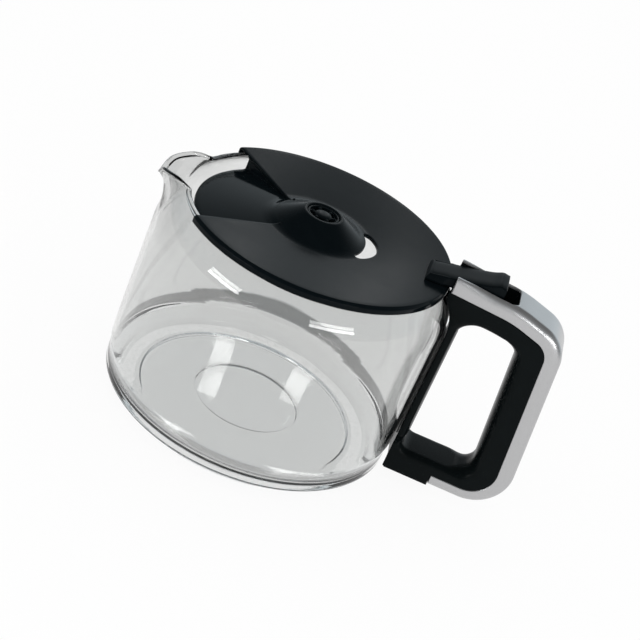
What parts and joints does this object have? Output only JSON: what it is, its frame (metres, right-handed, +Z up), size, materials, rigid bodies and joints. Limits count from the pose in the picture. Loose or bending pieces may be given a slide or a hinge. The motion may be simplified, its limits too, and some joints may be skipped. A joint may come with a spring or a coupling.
{
  "type": "coffee carafe",
  "caption": "Clear glass drip-coffee carafe with a pulled spout, a hinged black lid worked by a thumb lever, and a black loop handle with a silver channel trim.",
  "frame": {"origin": "centre of the bounding box in plan, on the surface the jug stands on", "axes": "+Z up, +X from the spout to the handle, +Y to the far side when the handle is on the right"},
  "size_m": [0.2174, 0.15, 0.1217],
  "materials": {
    "clear_glass": "clear polished glass with a faint grey tint",
    "lid_plastic": "charcoal black moulded plastic, satin on the top face and glossy on skirt and pour floor",
    "handle_plastic": "black moulded plastic, satin sides and glossy inside the loop",
    "satin_silver": "satin silver paint on plastic",
    "steel": "plain steel",
    "silicone": "black silicone adhesive"
  },
  "bodies": {
    "jug_and_handle": {"glass_jug": "clear_glass", "handle_bond": "silicone", "handle_body": "handle_plastic", "handle_trim": "satin_silver", "trim_screw": "steel", "hinge_pin": "steel"},
    "lid": {"lid_cover": "lid_plastic", "lid_tray": "lid_plastic", "drip_inlet": "handle_plastic", "thumb_lever": "lid_plastic"}
  },
  "joints": [
    {"name": "lid_hinge", "type": "hinge", "parent": "jug_and_handle", "child": "lid", "pos_m": [0.04821, 0, 0.1104], "axis": [0, 1, 0], "range_deg": [0, 42]}
  ]
}
